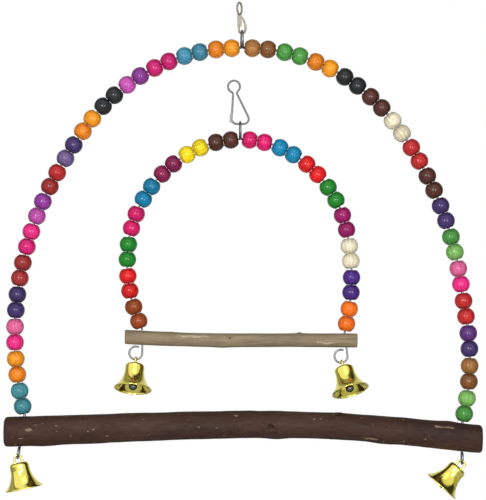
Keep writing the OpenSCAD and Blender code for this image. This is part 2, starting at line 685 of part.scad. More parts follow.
// One wire: up the sprung leg, round the head, down the other leg and round the hook
module small_clip() color(steel) {
    hang = [-small_hang_left, 0, -small_hang_drop];
    top = to_space("right", hang, clip_top);
    skin(concat(
        reversed(but_first(side_rings("left", top, small_sprung_steps, clip_wire_d, 0))),
        side_rings("right", top, small_hook_steps, clip_wire_d, 0)), wire_facets);
    translate(hang) rotate([-90, 0, 0]) translate(small_tip) rotate([0, 0, small_tip_heading])
        translate([-small_latch_below, 0, 0]) latch(small_latch_len);
}

// Half of a bell's outline, thinned by a wall: in, from its outer face
module bell_half(thin) {
    wide = bell_body_r - thin;
    corner = bell_corner_r - thin;
    top = bell_drop + thin;
    difference() {
        translate([0, -bell_mouth_level])
            square([bell_mouth_r, bell_mouth_level - top]);
        translate([bell_body_r + bell_flare_r, -bell_flare_level]) circle(r = bell_flare_r + thin);
        translate([wide, -bell_flare_level]) square([bell_mouth_r, bell_h]);
        difference() {
            translate([wide - corner, -top - corner]) square([bell_mouth_r, bell_h]);
            translate([wide - corner, -top - corner]) circle(r = corner);
        }
    }
}

module bell_shell() {
    difference() {
        rotate_extrude() difference() {
            bell_half(0);
            bell_half(bell_wall);
        }
        for (way = [-1, 1]) translate([way * staple_r, 0, -bell_drop - bell_wall - overrun])
            cylinder(h = bell_wall + 2 * overrun, d = staple_wire_d + 2 * staple_hole_gap);
    }
}

// The staple: an arch over the eye's wire, two legs through the crown, a crimp on each
// leg under the crown and a bar across their ends
module bell_staple(eye_wire_d) {
    arch_level = eye_wire_d / 2 + seat_gap + staple_wire_d / 2 - staple_r;
    leg_len = arch_level + bar_level;
    translate([0, 0, arch_level]) rotate([90, 0, 0]) rotate_extrude(angle = 180)
        translate([staple_r, 0]) circle(d = staple_wire_d);
    for (way = [-1, 1]) translate([way * staple_r, 0, 0]) {
        translate([0, 0, -bar_level]) cylinder(h = leg_len, d = staple_wire_d);
        translate([0, 0, -bar_level]) sphere(d = staple_wire_d);
        translate([0, 0, -bell_drop - bell_wall - seat_gap - crimp_h])
            cylinder(h = crimp_h, r = crimp_r);
    }
    translate([-staple_r, 0, -bar_level]) rotate([0, 90, 0]) cylinder(h = 2 * staple_r, d = bar_d);
}

module bell(eye_wire_d) color(gold) {
    bell_shell();
    bell_staple(eye_wire_d);
}

module clapper() color(steel) {
    translate([0, 0, -bar_level]) rotate([0, 90, 0]) rotate_extrude()
        translate([clapper_ring_r, 0]) circle(d = clapper_wire_d);
    translate([0, 0, -ball_level]) {
        cylinder(h = ball_level - bar_level - clapper_ring_r, d = clapper_wire_d);
        sphere(r = clapper_ball_r);
    }
}

// Puts a bell or clapper on its large or small eye
module on_large_eye(side) {
    translate(large_pivot(side))
        rotate([0, side == "left" ? large_bell_lean_left : large_bell_lean_right, 0]) children();
}

module on_small_eye(side) {
    point = side == "left" ? small_bell_point_left : small_bell_point_right;
    lean = side == "left" ? small_bell_lean_left : small_bell_lean_right;
    pitch = side == "left" ? small_bell_pitch_left : small_bell_pitch_right;
    translate(small_pivot(side)) rotate(a = -pitch, v = [cos(point), 0, sin(point)])
        rotate([0, lean, 0]) rotate([0, 0, -90]) children();
}

large_clip();
large_wire_arch();
large_perch();
small_clip();
small_wire_arch();
small_perch();
for (side = sides) {
    on_large_eye(side) bell(large_wire_d);
    on_small_eye(side) bell(small_wire_d);
    on_large_eye(side) clapper();
    on_small_eye(side) clapper();
}
for (side = sides, i = [0:large_pairs - 1])
    large_beads(side, i);
for (side = sides, i = [0:small_pairs - 1])
    small_beads(side, i);
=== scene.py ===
import json
import math
import random

import bmesh
import bpy
import numpy as np
from mathutils import Matrix, Vector, noise


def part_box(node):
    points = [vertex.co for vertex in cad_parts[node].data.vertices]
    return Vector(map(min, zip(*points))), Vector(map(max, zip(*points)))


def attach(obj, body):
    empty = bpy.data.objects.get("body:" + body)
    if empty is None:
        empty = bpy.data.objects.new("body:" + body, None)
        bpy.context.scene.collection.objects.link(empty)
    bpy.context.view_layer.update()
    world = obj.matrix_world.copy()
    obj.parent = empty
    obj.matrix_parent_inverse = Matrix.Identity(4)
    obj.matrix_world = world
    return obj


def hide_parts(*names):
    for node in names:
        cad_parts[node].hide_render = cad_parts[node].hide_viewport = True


# The looks of a bird swing set: two arches of spring wire threaded with dyed wooden beads,
# each standing in a natural branch perch, with a bell under each foot and a clip on top.
# X runs to the right, Y to the back and Z up, in metres, as in the frame.

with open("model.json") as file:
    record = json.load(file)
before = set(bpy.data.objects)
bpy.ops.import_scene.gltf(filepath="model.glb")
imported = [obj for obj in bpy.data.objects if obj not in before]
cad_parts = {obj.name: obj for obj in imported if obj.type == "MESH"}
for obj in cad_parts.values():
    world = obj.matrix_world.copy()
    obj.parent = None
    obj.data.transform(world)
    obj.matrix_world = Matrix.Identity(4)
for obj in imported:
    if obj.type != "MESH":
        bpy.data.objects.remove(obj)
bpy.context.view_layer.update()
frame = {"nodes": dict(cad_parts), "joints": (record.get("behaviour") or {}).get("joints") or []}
JOINTS = {joint["name"]: joint for joint in frame["joints"]}

MM = 0.001
DEG = math.pi / 180
RNG = random.Random(41)

# The photograph: one of its pixels at the swings' plane, and its middle in the frame
PIXEL = 0.6 * MM
PHOTO_H = 500
MIDDLE = Vector((2.1 * MM, 0, -147.84 * MM))
CAMERA_BACK = 2.0
SENSOR = 36

# Wire of the arches, as the CAD bends it
LOOP_START = 0.15 * MM
FOOT_GAP = 0.3 * MM
FOOT_BEND_R = 3 * MM
EYE_GAP = 0.3 * MM
EYE_TURN = 300
HOLE_GAP = 0.12 * MM
HOLE_REACH = 14 * MM
LOOP_CUTS = 64
BEAD_BORE_R = 1.6 * MM
BEAD_GAP = 0.15 * MM
BEAD_SIDES = 40

# How finely bends are cut, in degrees, and how near two points are one, in metres
WIDE_CUT, TIGHT_CUT = 1.5, 6
TIGHT_R = 10 * MM
MERGE_DISTANCE = 1e-7
# How far a branch's skin lies inside the CAD's, to leave room for its relief
SKIN_INSET = 0.09 * MM


class Swing:
    """Sizes of one swing and the way its wire runs."""

    def __init__(self, name, **sizes):
        self.name = name
        self.__dict__.update(sizes)
        self.loop_half = self.pitch / 2 + self.lead_r + LOOP_START
        reach = math.hypot(self.loop_r, self.lead_r) + self.loop_r + self.wire_d / 2
        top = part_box(name + "_wire_arch")[1]
        hinge = joint_place(name + "_swing_hinge")
        self.line = Vector((hinge.x, 0, top[2] - reach))
        pair = 2 * self.bead_len + BEAD_GAP
        self.steps = {side: self.side_steps(side, self.first_gap + self.pairs * (pair + gap) - gap)
                      for side, gap in zip(("left", "right"), self.pair_gaps)}

    def side_steps(self, side, run):
        """Steps of (length, turn) from the middle of the top loop to the level of the eye."""
        n = 0 if side == "left" else 1
        crown = arc(self.crown_r[n], self.crown_turn[n])
        flank = arc(self.flank_r[n], self.flank_turn[n])
        rest = run - self.loop_half - crown[0] - flank[0] - self.straight[n]
        foot_turn = rest / self.foot_r[n] / DEG
        bend = self.foot_heading[n] - crown[1] - flank[1] - foot_turn
        through = 2 * self.perch_r[side] + self.eye_r + self.wire_d / 2 + EYE_GAP
        return [(self.loop_half, 0), crown, flank, (self.straight[n], 0), (rest, foot_turn),
                (FOOT_GAP, 0), arc(FOOT_BEND_R, bend), (through, 0)]

    def to_space(self, side, x, y):
        """A point of a side's own plane, x outwards and y down, in the frame."""
        return self.line + Vector((-x if side == "left" else x, 0, -y))

    def hole(self, side):
        """Where the foot's wire crosses the middle of the perch, and which way it runs."""
        steps = self.steps[side]
        x, y, heading = walk(steps, run_of(steps[:-1]) + self.perch_r[side])
        way = -1 if side == "left" else 1
        along = Vector((way * math.cos(heading * DEG), 0, -math.sin(heading * DEG)))
        return self.to_space(side, x, y), along


def joint_place(name):
    return Vector(JOINTS[name]["pos_m"])


def joint_axis(name):
    return Vector(JOINTS[name]["axis"]).normalized()


def arc(r, turn):
    return (r * abs(turn) * DEG, turn)


def run_of(steps):
    return sum(length for length, _ in steps)


def walk(steps, s):
    """Point and heading in degrees at a length s along steps of (length, turn)."""
    x = y = heading = 0.0
    for n, (length, turn) in enumerate(steps):
        run = s if n == len(steps) - 1 else min(s, length)
        if turn:
            r, t = length / (abs(turn) * DEG), abs(turn) * DEG * run / length
            dx, dy = r * math.sin(t), math.copysign(r * (1 - math.cos(t)), turn)
        else:
            dx, dy = run, 0.0
        c, d = math.cos(heading * DEG), math.sin(heading * DEG)
        x, y = x + dx * c - dy * d, y + dx * d + dy * c
        heading += turn * run / length
        s -= run
        if s <= 0:
            break
    return x, y, heading


def walk_points(steps, first):
    """Points along steps from step number first, close enough for a smooth bend."""
    points = []
    for n in range(first, len(steps)):
        length, turn = steps[n]
        r = length / (abs(turn) * DEG) if turn else 0
        cut_turn = WIDE_CUT if r > TIGHT_R else TIGHT_CUT
        cuts = max(1, math.ceil(abs(turn) / cut_turn))
        start = run_of(steps[:n])
        points += [walk(steps, start + length * k / cuts) for k in range(cuts)]
    return points + [walk(steps, run_of(steps))]


# Mesh making

def new_object(name, verts, faces):
    mesh = bpy.data.meshes.new(name)
    mesh.from_pydata([tuple(v) for v in verts], [], faces)
    mesh.validate()
    mesh.shade_smooth()
    obj = bpy.data.objects.new(name, mesh)
    bpy.context.scene.collection.objects.link(obj)
    return obj


def grid_faces(rows, cols, closed=False):
    """Quads between rows of points round a form, the last row joined to the first if closed."""
    faces = []
    for i in range(rows if closed else rows - 1):
        a, b = i * cols, (i + 1) % rows * cols
        faces += [(a + k, a + (k + 1) % cols, b + (k + 1) % cols, b + k) for k in range(cols)]
    return faces


def lathe(profile, sides, closed=False):
    """Points and faces of (height, radius) turned about Z; a radius of zero makes a cap."""
    verts = [(r * math.cos(2 * math.pi * k / sides), r * math.sin(2 * math.pi * k / sides), z)
             for z, r in profile for k in range(sides)]
    return verts, grid_faces(len(profile), sides, closed=closed)


def tube(points, radius, sides=20, closed=False):
    """Points and faces of a round wire along points, its ends slightly broken."""
    points = [Vector(p) for p in points]
    n = len(points)
    tangents = []
    for i in range(n):
        a = points[i - 1] if i or closed else points[0]
        b = points[(i + 1) % n] if i < n - 1 or closed else points[-1]
        tangents.append((b - a).normalized())
    side = tangents[0].orthogonal().normalized()
    verts = []
    rings = [(p, t, 1.0) for p, t in zip(points, tangents)]
    if not closed:
        edge = radius * 0.3
        rings[0] = (points[0] + tangents[0] * edge, tangents[0], 1.0)
        rings[-1] = (points[-1] - tangents[-1] * edge, tangents[-1], 1.0)
        rings = [(points[0], tangents[0], 0.0), (points[0], tangents[0], 0.7)] + rings \
            + [(points[-1], tangents[-1], 0.7), (points[-1], tangents[-1], 0.0)]
    for p, t, share in rings:
        side = (side - side.dot(t) * t).normalized()
        up = t.cross(side)
        for k in range(sides):
            a = 2 * math.pi * k / sides
            verts.append(p + radius * share * (math.cos(a) * side + math.sin(a) * up))
    return verts, grid_faces(len(rings), sides, closed=closed)


def joined(*shells):
    """Several (points, faces) as one."""
    verts, faces = [], []
    for v, f in shells:
        faces += [tuple(k + len(verts) for k in face) for face in f]
        verts += [Vector(p) for p in v]
    return verts, faces


def moved(shell, matrix):
    return [matrix @ Vector(v) for v in shell[0]], shell[1]


def frame_matrix(origin, x, z):
    """A matrix whose X is x and whose Z lies as near z as it can."""
    x = x.normalized()
    y = z.cross(x).normalized()
    z = x.cross(y)
    return Matrix.Translation(origin) @ Matrix((x, y, z)).transposed().to_4x4()


def merged(obj):
    """Closes the caps that a lathe or tube leaves as rings of points in one place."""
    bm = bmesh.new()
    bm.from_mesh(obj.data)
    bmesh.ops.remove_doubles(bm, verts=bm.verts, dist=MERGE_DISTANCE)
    bmesh.ops.recalc_face_normals(bm, faces=bm.faces)
    bm.to_mesh(obj.data)
    bm.free()
    return obj


# Materials

class Material:
    """A material whose nodes are added one call at a time."""

    def __init__(self, name, **sockets):
        self.mat = bpy.data.materials.new(name)
        self.mat.use_nodes = True
        self.tree = self.mat.node_tree
        self.shader = self.tree.nodes["Principled BSDF"]
        for socket, value in sockets.items():
            self.shader.inputs[socket.replace("_", " ")].default_value = value

    def node(self, kind, inputs=(), output=0, **settings):
        """Adds a node and returns one of its outputs. An input is a value or an output."""
        made = self.tree.nodes.new("ShaderNode" + kind)
        for setting, value in settings.items():
            setattr(made, setting, value)
        for socket, value in dict(inputs).items():
            if isinstance(value, bpy.types.NodeSocket):
                self.tree.links.new(value, made.inputs[socket])
            else:
                made.inputs[socket].default_value = value
        return made.outputs[output]

    def to_shader(self, socket, value):
        self.tree.links.new(value, self.shader.inputs[socket])

    def stretched(self, vector, shares):
        return self.node("VectorMath", {0: vector, 1: shares}, operation="MULTIPLY")

    def noise(self, vector, scale, detail=3, rough=0.5, distortion=0):
        return self.node("TexNoise", {"Vector": vector, "Scale": scale, "Detail": detail,
                                      "Roughness": rough, "Distortion": distortion})

    def ramp(self, value, *stops):
        """Colours along a value: stops are (position, colour)."""
        made = self.tree.nodes.new("ShaderNodeValToRGB")
        points = made.color_ramp.elements
        while len(points) < len(stops):
            points.new(0.5)
        for point, (at, colour) in zip(points, stops):
            point.position, point.color = at, colour
        self.tree.links.new(value, made.inputs[0])
        return made.outputs[0]

    def levels(self, value, low, high, to_low=0, to_high=1):
        return self.node("MapRange", {"Value": value, "From Min": low, "From Max": high,
                                      "To Min": to_low, "To Max": to_high})

    def mix(self, share, a, b, blend="MIX"):
        return self.node("Mix", {0: share, 6: a, 7: b}, output=2, data_type="RGBA",
                         blend_type=blend)

    def times(self, a, b):
        return self.node("Math", {0: a, 1: b}, operation="MULTIPLY")

    def plus(self, a, b):
        return self.node("Math", {0: a, 1: b}, operation="ADD")

    def bump(self, height, distance, strength=1.0):
        return self.node("Bump", {"Height": height, "Distance": distance,
                                  "Strength": strength})


def linear(r, g, b):
    """A colour given in screen levels of 0 to 255, for a shader."""
    return tuple(((v / 255 + 0.055) / 1.055) ** 2.4 if v > 10 else v / 255 / 12.92
                 for v in (r, g, b)) + (1,)


def position(material):
    return material.node("TexCoord", output=3)


def bead_wood():
    """Dyed and lacquered wood. The dye, darkened toward each bead's ends as painted shade, and the
    grain's place are kept on the mesh.
    """
    m = Material("bead_wood", Coat_Weight=0.5, Coat_Roughness=0.19, Coat_IOR=1.45,
                 Specular_IOR_Level=0.08)
    # The dye attribute carries each bead's dye with painted shade toward its ends
    dye = m.node("Attribute", attribute_name="dye")
    grain = m.node("Attribute", output=1, attribute_name="grain")
    fibre = m.noise(m.stretched(grain, (0.1, 1, 1)), 2600, detail=4, rough=0.6)
    streak = m.noise(m.stretched(grain, (0.22, 1, 1)), 620, detail=4, rough=0.62, distortion=0.6)
    rings = m.node("TexWave", {"Vector": m.stretched(grain, (0.3, 1, 1)), "Scale": 150,
                               "Distortion": 5, "Detail": 3, "Detail Scale": 1.2},
                   wave_type="RINGS", rings_direction="X")
    figure = m.plus(m.times(m.levels(streak, 0.3, 0.7), 0.6), m.times(rings, 0.4))
    soaked = m.plus(m.times(figure, 0.75), m.times(fibre, 0.25))
    dark = m.mix(1.0, dye, (0.8, 0.77, 0.8, 1), blend="MULTIPLY")
    light = m.mix(1.0, dye, (1.16, 1.14, 1.12, 1), blend="MULTIPLY")
    colour = m.mix(m.levels(soaked, 0.2, 0.72), dark, light)
    m.to_shader("Base Color", colour)
    m.to_shader("Roughness", m.levels(soaked, 0.2, 0.8, 0.55, 0.36))
    relief = m.plus(m.times(soaked, 0.8), m.times(fibre, 0.2))
    m.to_shader("Normal", m.bump(relief, 0.00012, 0.5))
    m.to_shader("Coat Normal", m.bump(relief, 0.00007, 0.4))
    return m.mat


def steel(name, tone, rough, metal=1.0):
    """Drawn spring wire: bright, with fine lines and a cloudy film."""
    m = Material(name, Metallic=metal)
    place = position(m)
    cloud = m.noise(place, 220, detail=4)
    lines = m.noise(m.stretched(place, (1, 1, 0.2)), 5200, detail=3, rough=0.7)
    colour = m.mix(m.levels(cloud, 0.35, 0.65), tuple(c * 0.86 for c in tone[:3]) + (1,), tone)
    m.to_shader("Base Color", colour)
    m.to_shader("Roughness", m.levels(m.plus(m.times(cloud, 0.6), m.times(lines, 0.4)),
                                      0.3, 0.7, rough * 0.75, rough * 1.3))
    m.to_shader("Normal", m.bump(lines, 0.00002, 0.4))
    return m.mat


def gold():
    """Bright yellow plating over thin pressed steel, with faint dents and scratches."""
    m = Material("bell_plating", Metallic=1.0)
    place = position(m)
    cloud = m.noise(place, 130, detail=3)
    dents = m.noise(place, 170, detail=2, distortion=0.4)
    scratch = m.noise(m.stretched(place, (1, 1, 0.12)), 3600, detail=3, rough=0.75)
    colour = m.mix(m.levels(cloud, 0.3, 0.7), linear(252, 240, 128), linear(242, 226, 92))
    m.to_shader("Base Color", colour)
    m.to_shader("Roughness", m.levels(m.plus(m.times(cloud, 0.5), m.times(scratch, 0.5)),
                                      0.35, 0.68, 0.07, 0.2))
    m.to_shader("Normal", m.bump(dents, 0.00035, 0.35))
    return m.mat


def bark():
    """Smooth dark bark with lenticels, pale scrapes and scars from twigs."""
    m = Material("dark_bark", Specular_IOR_Level=0.16)
    place = m.node("Attribute", output=1, attribute_name="grain")
    scrape = m.node("Attribute", output=2, attribute_name="scrape")
    scar = m.node("Attribute", output=2, attribute_name="scar")
    broad = m.noise(m.stretched(place, (0.35, 1, 1)), 55, detail=5, rough=0.6)
    fine = m.noise(m.stretched(place, (0.25, 1, 1)), 520, detail=5, rough=0.68)
    wrinkle = m.noise(m.stretched(place, (2.2, 1, 1)), 330, detail=3, rough=0.55)
    base = m.ramp(broad, (0.25, linear(42, 27, 22)), (0.48, linear(57, 38, 31)),
                  (0.62, linear(66, 45, 36)), (0.8, linear(76, 56, 42)))
    base = m.mix(m.levels(fine, 0.4, 0.8, 0.0, 0.35), base, linear(84, 64, 51))
    base = m.mix(m.levels(fine, 0.46, 0.25, 0.0, 0.45), base, linear(36, 25, 21))
    spots = m.node("TexVoronoi", {"Vector": m.stretched(place, (1.0, 1.7, 1.7)), "Scale": 210,
                                  "Randomness": 1.0})
    chosen = m.levels(m.noise(place, 130, detail=2), 0.53, 0.6)
    lenticel = m.times(m.levels(spots, 0.2, 0.1), chosen)
    base = m.mix(m.times(lenticel, 0.75), base, linear(150, 128, 108))
    rub = m.levels(m.plus(scrape, m.times(fine, 0.55)), 0.62, 0.95)
    base = m.mix(m.times(rub, 0.7), base, linear(150, 128, 104))
    base = m.mix(m.levels(m.plus(scar, m.times(fine, 0.3)), 0.45, 0.9, 0, 0.75), base,
                 linear(30, 20, 18))
    m.to_shader("Base Color", base)
    m.to_shader("Roughness", m.levels(fine, 0.25, 0.75, 0.74, 0.5))
    height = m.plus(m.plus(m.times(fine, 0.5), m.times(wrinkle, 0.3)), m.times(lenticel, 0.5))
    m.to_shader("Normal", m.bump(height, 0.0004, 0.5))
    return m.mat


def driftwood():
    """Bare grey-tan wood, weathered along its grain."""
    m = Material("grey_wood", Specular_IOR_Level=0.3)
    place = m.node("Attribute", output=1, attribute_name="grain")
    scrape = m.node("Attribute", output=2, attribute_name="scrape")
    scar = m.node("Attribute", output=2, attribute_name="scar")
    broad = m.noise(m.stretched(place, (0.16, 1, 1)), 150, detail=4, rough=0.55)
    fine = m.noise(m.stretched(place, (0.05, 1, 1)), 1500, detail=4, rough=0.65)
    crack = m.noise(m.stretched(place, (0.035, 1, 1)), 900, detail=2, rough=0.5)
    base = m.ramp(broad, (0.28, linear(96, 82, 66)), (0.45, linear(122, 107, 85)),
                  (0.6, linear(137, 121, 95)), (0.78, linear(158, 141, 112)))
    base = m.mix(m.levels(fine, 0.35, 0.7, 0.0, 0.4), base, linear(158, 144, 118))
    base = m.mix(m.levels(fine, 0.48, 0.3, 0.0, 0.45), base, linear(86, 72, 58))
    line = m.levels(crack, 0.34, 0.28)
    base = m.mix(m.times(line, 0.5), base, linear(78, 64, 54))
    base = m.mix(m.times(m.levels(m.plus(scrape, m.times(broad, 0.4)), 0.5, 0.9), 0.7), base,
                 linear(196, 180, 150))
    base = m.mix(m.levels(m.plus(scar, m.times(fine, 0.3)), 0.4, 0.85, 0, 0.85), base,
                 linear(58, 44, 38))
    m.to_shader("Base Color", base)
    m.to_shader("Roughness", m.levels(fine, 0.25, 0.75, 0.85, 0.66))
    height = m.plus(m.times(fine, 0.6), m.times(line, -0.6))
    m.to_shader("Normal", m.bump(height, 0.0003, 0.5))
    return m.mat


def end_grain(name, dark, light, ring):
    """A sawn end: growth rings about the pith, fine pores and a crack or two."""
    m = Material(name, Specular_IOR_Level=0.25)
    place = m.node("Attribute", output=1, attribute_name="grain")
    rings = m.node("TexWave", {"Vector": m.stretched(place, (0, 1, 1)), "Scale": ring,
                               "Distortion": 2.5, "Detail": 3, "Detail Scale": 1.5},
                   wave_type="RINGS", rings_direction="X")
    pores = m.noise(m.stretched(place, (0.2, 1, 1)), 2800, detail=3, rough=0.7)
    rough = m.noise(place, 300, detail=4, rough=0.6)
    mixed = m.plus(m.times(rings, 0.45), m.times(rough, 0.55))
    base = m.mix(m.levels(mixed, 0.25, 0.7), dark, light)
    base = m.mix(m.levels(pores, 0.46, 0.34, 0, 0.7), base, tuple(c * 0.4 for c in dark[:3]) + (1,))
    m.to_shader("Base Color", base)
    m.to_shader("Roughness", m.levels(rough, 0.3, 0.7, 0.9, 0.75))
    m.to_shader("Normal", m.bump(m.plus(m.times(rings, 0.4), pores), 0.0003, 0.5))
    return m.mat


def bore_shade():
    """The dark, undyed inside of a drilled perch."""
    m = Material("drilled_wood", Roughness=0.9)
    grit = m.noise(position(m), 1600, detail=3)
    m.to_shader("Base Color", m.mix(grit, linear(60, 46, 38), linear(98, 78, 62)))
    m.to_shader("Normal", m.bump(grit, 0.0002, 0.5))
    return m.mat


def paper():
    """The pale floor of the studio."""
    m = Material("studio_floor", Roughness=0.85, Specular_IOR_Level=0.2)
    tooth = m.noise(position(m), 40, detail=3)
    shade = m.mix(tooth, (0.86, 0.86, 0.855, 1), (0.88, 0.88, 0.875, 1))
    m.to_shader("Base Color", shade)
    m.to_shader("Emission Color", shade)
    m.to_shader("Emission Strength", m.times(m.node("LightPath"), 0.5))
    return m.mat


# Beads: the dye of each, from the top of an arch down, two to a pair

DYES = {
    "orange": (238, 150, 26), "orange_deep": (226, 128, 24),
    "blue": (66, 138, 166), "sea": (10, 126, 168),
    "magenta": (206, 28, 112), "rose": (222, 40, 126), "pink": (228, 104, 156),
    "violet": (140, 54, 150), "grape": (90, 50, 120), "lilac": (186, 78, 168),
    "black": (34, 36, 38),
    "indigo": (62, 46, 98), "heather": (112, 92, 142), "red": (190, 40, 42),
    "red_brown": (140, 36, 34), "brick": (156, 46, 46), "teal": (62, 136, 146),
    "tan": (156, 106, 54), "tan_deep": (134, 84, 42), "green": (72, 148, 64),
    "green_pale": (122, 182, 92), "brown": (78, 42, 32), "cream": (230, 222, 192),
    "yellow": (242, 216, 22), "maroon": (126, 22, 72), "cerise": (216, 20, 104),
    "leaf": (24, 128, 36), "scarlet": (216, 22, 26), "russet": (146, 66, 22),
    "plum": (142, 18, 92), "purple": (72, 38, 126), "flame": (240, 112, 22),
}
PAIR_DYES = {
    ("large", "left"): (
        "orange orange_deep", "blue blue", "magenta magenta", "violet lilac", "black black",
        "orange orange_deep", "indigo heather", "red red_brown", "violet lilac",
        "rose magenta", "brick brick", "indigo indigo", "pink rose", "orange orange_deep",
        "teal teal"),
    ("large", "right"): (
        "tan tan_deep", "green green", "orange_deep orange", "black black", "brown brown",
        "cream cream", "red red", "brown brown", "indigo indigo", "green green_pale",
        "pink rose", "red red", "grape indigo", "tan tan_deep", "green_pale green"),
    ("small", "left"): (
        "brown brown", "yellow yellow", "maroon maroon", "sea sea", "cerise cerise",
        "leaf leaf", "scarlet scarlet", "russet russet"),
    ("small", "right"): (
        "cerise cerise", "sea sea", "scarlet scarlet", "leaf leaf", "plum plum",
        "cream cream", "purple purple", "flame flame"),
}


def bead_profile(swing):
    """A bead's outline as (along, radius): the bore, its broken edge, a flat and the ball."""
    ball, half = swing.bead_d / 2, swing.bead_len / 2
    soft, edge = 0.32 * MM, 0.12 * MM
    flat_r = math.sqrt(ball * ball - half * half)
    tilt = math.asin(half / ball)
    half_side = [(-half + edge, BEAD_BORE_R), (-half, BEAD_BORE_R + edge),
                 (-half, max(flat_r - soft * 0.7, BEAD_BORE_R + edge * 1.2)),
                 (-half + soft * 0.08, flat_r + soft * 0.25)]
    arcs = 15
    start = -tilt * 0.965
    ball_side = [(ball * math.sin(start * (1 - k / arcs)), ball * math.cos(start * (1 - k / arcs)))
                 for k in range(arcs + 1)]
    left = half_side + ball_side
    return left + [(-z, r) for z, r in reversed(left[:-1])]


def bead_pair(swing, side, n):
    """Two neighbouring beads on their stretch of wire, one mesh."""
    node = f"{swing.name}_{side}_beads_{n + 1:02d}"
    spin = node + "_spin"
    place, axis = joint_place(spin), joint_axis(spin)
    if axis.z > 0 or (abs(axis.z) < 1e-6 and (axis.x > 0) == (side == "left")):
        axis = -axis
    seat = frame_matrix(place, axis, Vector((0, -1, 0)))
    profile = bead_profile(swing)
    shells, dyes_with_painted_end_shade, grains = [], [], []
    for end, dye in zip((-1, 1), PAIR_DYES[swing.name, side][n].split()):
        roll, lean = RNG.uniform(0, 360), RNG.uniform(-7, 7)
        shift = Vector([RNG.uniform(0.02, 0.4) for _ in range(3)])
        pith = Vector((0, RNG.uniform(3, 9) * MM, 0))
        tone = RNG.uniform(0.92, 1.06)
        verts, faces = lathe(profile, BEAD_SIDES, closed=True)
        turn = Matrix.Rotation(90 * DEG, 4, "Y") @ Matrix.Rotation(roll * DEG, 4, "Z")
        lumpy = []
        for v in verts:
            v = turn @ Vector(v)
            r = math.hypot(v.y, v.z)
            if r > BEAD_BORE_R * 1.2:
                swell = 1 + 0.006 * noise.noise(v * 260 + shift * 90)
                v = Vector((v.x, v.y * swell, v.z * swell))
            lumpy.append(v)
        wood = Matrix.Rotation(lean * DEG, 4, "Y") @ Matrix.Rotation(roll * DEG, 4, "X")
        grains += [wood @ v + pith + Vector((shift.x, 0, 0)) for v in lumpy]
        colour = linear(*(min(255, c * tone) for c in DYES[dye]))
        for v in lumpy:
            # Painted shade: the colour darkens toward each bead's ends, where beads meet
            left = 1 - max(0.0, 2 * abs(v.x) / swing.bead_len - 0.4) ** 1.5
            dyes_with_painted_end_shade.append(tuple(c * left for c in colour[:3]) + (1,))
        shells.append(([v + Vector((end * (swing.bead_len + BEAD_GAP) / 2, 0, 0))
                        for v in lumpy], faces))
    obj = new_object(node + "_turned", *joined(*shells))
    # The dye attribute holds the dye with its painted end shade
    obj.data.attributes.new("dye", "FLOAT_COLOR", "POINT").data.foreach_set(
        "color", np.array(dyes_with_painted_end_shade).ravel())
    obj.data.attributes.new("grain", "FLOAT_VECTOR", "POINT").data.foreach_set(
        "vector", np.array([tuple(g) for g in grains]).ravel())
    obj.matrix_world = seat
    obj.data.materials.append(MATERIALS["bead"])
    dress(obj, node, node)
    return obj


def dress(obj, body, node):
    """A piece that stands for a CAD node: its body and its node."""
    obj.data.transform(obj.matrix_world)
    obj.matrix_world = Matrix()
    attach(obj, body)
    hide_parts(node)


# Arches

def loop_points(swing):
    """The middle of a top loop's wire, from the left side of the arch to the right."""
    dip = math.atan(swing.lead_r / swing.loop_r)
    start = Vector((0, swing.loop_r * math.sin(dip), -swing.loop_r * math.cos(dip)))
    away = Vector((0, math.cos(dip), math.sin(dip)))
    lead = []
    for t in range(0, 90, 6):
        p = start - away * swing.lead_r * math.cos(t * DEG)
        p.x = -swing.pitch / 2 - swing.lead_r * (1 - math.sin(t * DEG))
        lead.append(p)
    turn = []
    for i in range(LOOP_CUTS + 1):
        share = i / LOOP_CUTS
        a = dip + (2 * math.pi - 2 * dip) * i / LOOP_CUTS
        turn.append(Vector((swing.pitch * (share - 0.5), swing.loop_r * math.sin(a),
                            -swing.loop_r * math.cos(a))))
    tail = [Vector((-p.x, -p.y, p.z)) for p in reversed(lead)]
    middle = swing.line + Vector((0, 0, math.hypot(swing.loop_r, swing.lead_r)))
    return [p + middle for p in lead + turn + tail]


def foot_eye(swing, side):
    """The eye that ends a foot: across the arch on the large swing, in its plane on the small."""
    steps = swing.steps[side]
    if swing.eye_across:
        x, y, heading = walk(steps, run_of(steps))
        way = -1 if side == "left" else 1
        down = Vector((way * math.cos(heading * DEG), 0, -math.sin(heading * DEG)))
        back = Vector((0, 1, 0))
        middle = swing.to_space(side, x, y) - swing.eye_r * back
        return [middle + swing.eye_r * (math.cos(a * DEG) * back + math.sin(a * DEG) * down)
                for a in range(6, EYE_TURN + 1, 6)]
    turn = -EYE_TURN if side == "left" else EYE_TURN
    bent = steps + [arc(swing.eye_r, turn)]
    return [swing.to_space(side, x, y) for x, y, _ in walk_points(bent, len(steps))[1:]]


def arch(swing):
    halves = {}
    for side in ("left", "right"):
        run = [swing.to_space(side, x, y) for x, y, _ in walk_points(swing.steps[side], 1)]
        halves[side] = run + foot_eye(swing, side)
    points = list(reversed(halves["left"])) + loop_points(swing) + halves["right"]
    node = swing.name + "_wire_arch"
    obj = merged(new_object(node + "_drawn", *tube(points, swing.wire_d / 2)))
    obj.data.materials.append(MATERIALS["wire"])
    dress(obj, swing.name + "_swing", node)
    return obj


# Perches

class Branch:
    """How one natural branch grows between its two holes."""

    def __init__(self, **sizes):
        self.__dict__.update(sizes)

    def radius(self, t):
        left, waist, right = self.radii
        if t < self.waist_at:
            return waist + (left - waist) * (1 + math.cos(math.pi * t / self.waist_at)) / 2
        share = (t - self.waist_at) / (1 - self.waist_at)
        return waist + (right - waist) * (1 - math.cos(math.pi * share)) / 2


def round_gap(a, b):
    """Degrees between two directions round a branch."""
    return (a - b + 180) % 360 - 180


